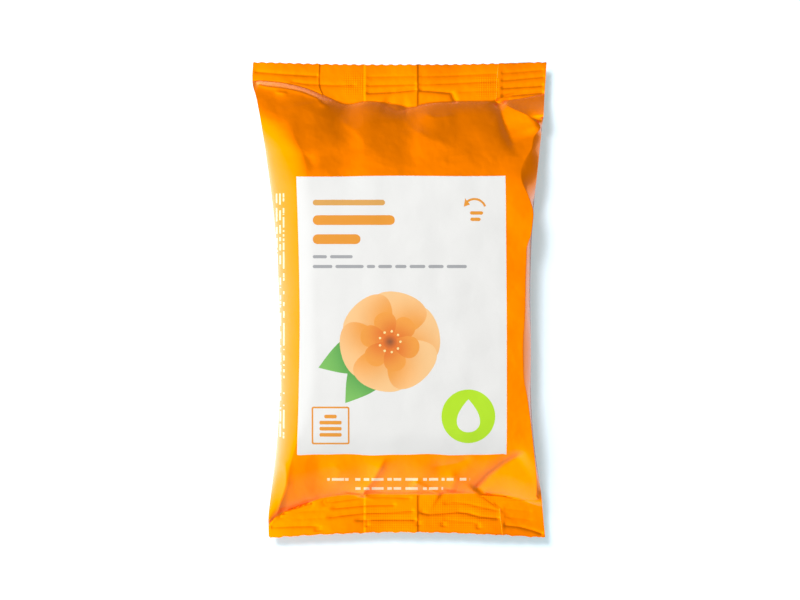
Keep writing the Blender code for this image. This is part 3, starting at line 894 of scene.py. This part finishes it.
label_mesh = printed_sheet("reseal_label_film", label_outline(), label_print())
label = add_piece("reseal_label_film", label_mesh, label_material())
wall = label.modifiers.new("thickness", "SOLIDIFY")
wall.thickness = LABEL_THICKNESS * MM
wall.offset = -1
print("label triangles:", 2 * len(label_mesh.polygons))

# %% [markdown]
# ## Join the pieces to the frame
#
# Each piece rides on the pack's one body and stands for its CAD solid.

# %% Frame
for piece, node, slot in ((pouch, "sealed_pouch", "film"), (label, "reseal_label", "label")):
    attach(piece, "root")
    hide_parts(node)

# %% [markdown]
# ## A plain white studio
#
# The pack lies on a white floor in a light tent. The floor keeps the pack's shadow, and a little of
# its own glow, seen only by the camera and in reflections, lifts it to white. In reflections the
# floor also glows much brighter left of the pack and not at all right of it: painted light, which the
# film's steep edges and side facets mirror. The tent is the world: its left and near walls are
# brighter than its right and far ones, which is what gives the film its bright left side and its
# brown slope under the top seal.

# %% Floor
FLOOR_REACH = 3.0
FLOOR_GLOW = 0.35
# the floor's painted glow in reflections only, left and right of the pack
LEFT_GLOW, RIGHT_GLOW = 1.1, -0.35
material, tree, output = new_material("white_studio_floor")
paint = add_node(tree, "ShaderNodeBsdfDiffuse", None, {"Color": linear("#DDEBF7")})
ray = add_node(tree, "ShaderNodeLightPath")
place = add_node(tree, "ShaderNodeTexCoord")["Object"]
x, _, _ = add_node(tree, "ShaderNodeSeparateXYZ", {0: place})
# painted light: a glow seen only in reflections, strong left of the pack and none right of it
reflected_glow = add_node(tree, "ShaderNodeMapRange", {"Value": x}, {
    "From Min": -0.09, "From Max": 0.05, "To Min": LEFT_GLOW, "To Max": RIGHT_GLOW,
}, interpolation_type="SMOOTHSTEP")
extra = add_node(tree, "ShaderNodeMath", {0: reflected_glow[0], 1: ray["Is Glossy Ray"]}, {2: FLOOR_GLOW},
                 operation="MULTIPLY_ADD")
glow = add_node(tree, "ShaderNodeEmission", {"Strength": extra[0]}, {"Color": linear("#DAFBFF")})
both = add_node(tree, "ShaderNodeAddShader", {0: paint[0], 1: glow[0]})
seen = add_node(tree, "ShaderNodeMath", {0: ray["Is Camera Ray"], 1: ray["Is Glossy Ray"]}, operation="MAXIMUM")
mixed = add_node(tree, "ShaderNodeMixShader", {0: seen[0], 1: paint[0], 2: both[0]})
tree.links.new(mixed[0], output.inputs["Surface"])
floor_mesh = bpy.data.meshes.new("studio_floor")
reach = np.array(((-1, -1, 0), (1, -1, 0), (1, 1, 0), (-1, 1, 0))) * FLOOR_REACH
floor_mesh.from_pydata(reach.tolist(), [], [(0, 1, 2, 3)])
floor_mesh.materials.append(material)
floor = bpy.data.objects.new("studio_floor", floor_mesh)
bpy.context.scene.collection.objects.link(floor)

# %% Lamp
KEY_PLACE, KEY_SIZE, KEY_RADIANCE = (-0.42, 0.58, 1.5), 0.40, 42.0
key = bpy.data.lights.new("shadow_key", "AREA")
key.shape = "SQUARE"
key.size = KEY_SIZE
key.energy = KEY_RADIANCE * math.pi * KEY_SIZE ** 2
key_lamp = bpy.data.objects.new("shadow_key", key)
key_lamp.location = KEY_PLACE
key_lamp.rotation_euler = (-key_lamp.location).to_track_quat("-Z", "Y").to_euler()
key_lamp.visible_glossy = False
bpy.context.scene.collection.objects.link(key_lamp)

# %% Light tent
LEFT_WALL, RIGHT_WALL = 2.1, 0.52
NEAR_WALL, FAR_WALL = 1.12, 0.40
DARKEST_WALL = 0.48
DIFFUSE_SHARE = 0.36
world = bpy.data.worlds.new("light_tent")
world.use_nodes = True
tree = world.node_tree
direction = add_node(tree, "ShaderNodeTexCoord")["Generated"]
x, y, z = add_node(tree, "ShaderNodeSeparateXYZ", {"Vector": direction})
sideways = add_node(tree, "ShaderNodeMapRange", {"Value": x}, {
    "From Min": -0.7, "From Max": 0.8, "To Min": LEFT_WALL, "To Max": RIGHT_WALL,
}, interpolation_type="SMOOTHSTEP")
lengthways = add_node(tree, "ShaderNodeMapRange", {"Value": y}, {
    "From Min": -0.08, "From Max": 1.1, "To Min": NEAR_WALL, "To Max": FAR_WALL,
}, interpolation_type="SMOOTHSTEP")
tent = add_node(tree, "ShaderNodeMath", {0: sideways[0], 1: lengthways[0]}, operation="MULTIPLY")
tent = add_node(tree, "ShaderNodeMath", {0: tent[0]}, {1: DARKEST_WALL}, operation="MAXIMUM")
ray = add_node(tree, "ShaderNodeLightPath")
share = add_node(tree, "ShaderNodeMapRange", {"Value": ray["Is Glossy Ray"]}, {"To Min": DIFFUSE_SHARE, "To Max": 1.0})
dimmed = add_node(tree, "ShaderNodeMath", {0: tent[0], 1: share[0]}, operation="MULTIPLY")
strength = add_node(tree, "ShaderNodeMix", {0: ray["Is Camera Ray"], 2: dimmed[0]}, {3: 1.0})
background = tree.nodes["Background"]
background.inputs["Color"].default_value = (1, 1, 1, 1)
tree.links.new(strength[0], background.inputs["Strength"])
bpy.context.scene.world = world

# %% Camera
CAMERA_PLACE, LENS, SENSOR = (0.0001, 0.0, 0.9317), 100, 36
camera_data = bpy.data.cameras.new("camera")
camera_data.lens = LENS
camera_data.sensor_width = SENSOR
camera = bpy.data.objects.new("camera", camera_data)
camera.location = CAMERA_PLACE
bpy.context.scene.collection.objects.link(camera)
bpy.context.scene.camera = camera
bpy.context.scene.view_settings.view_transform = "Standard"
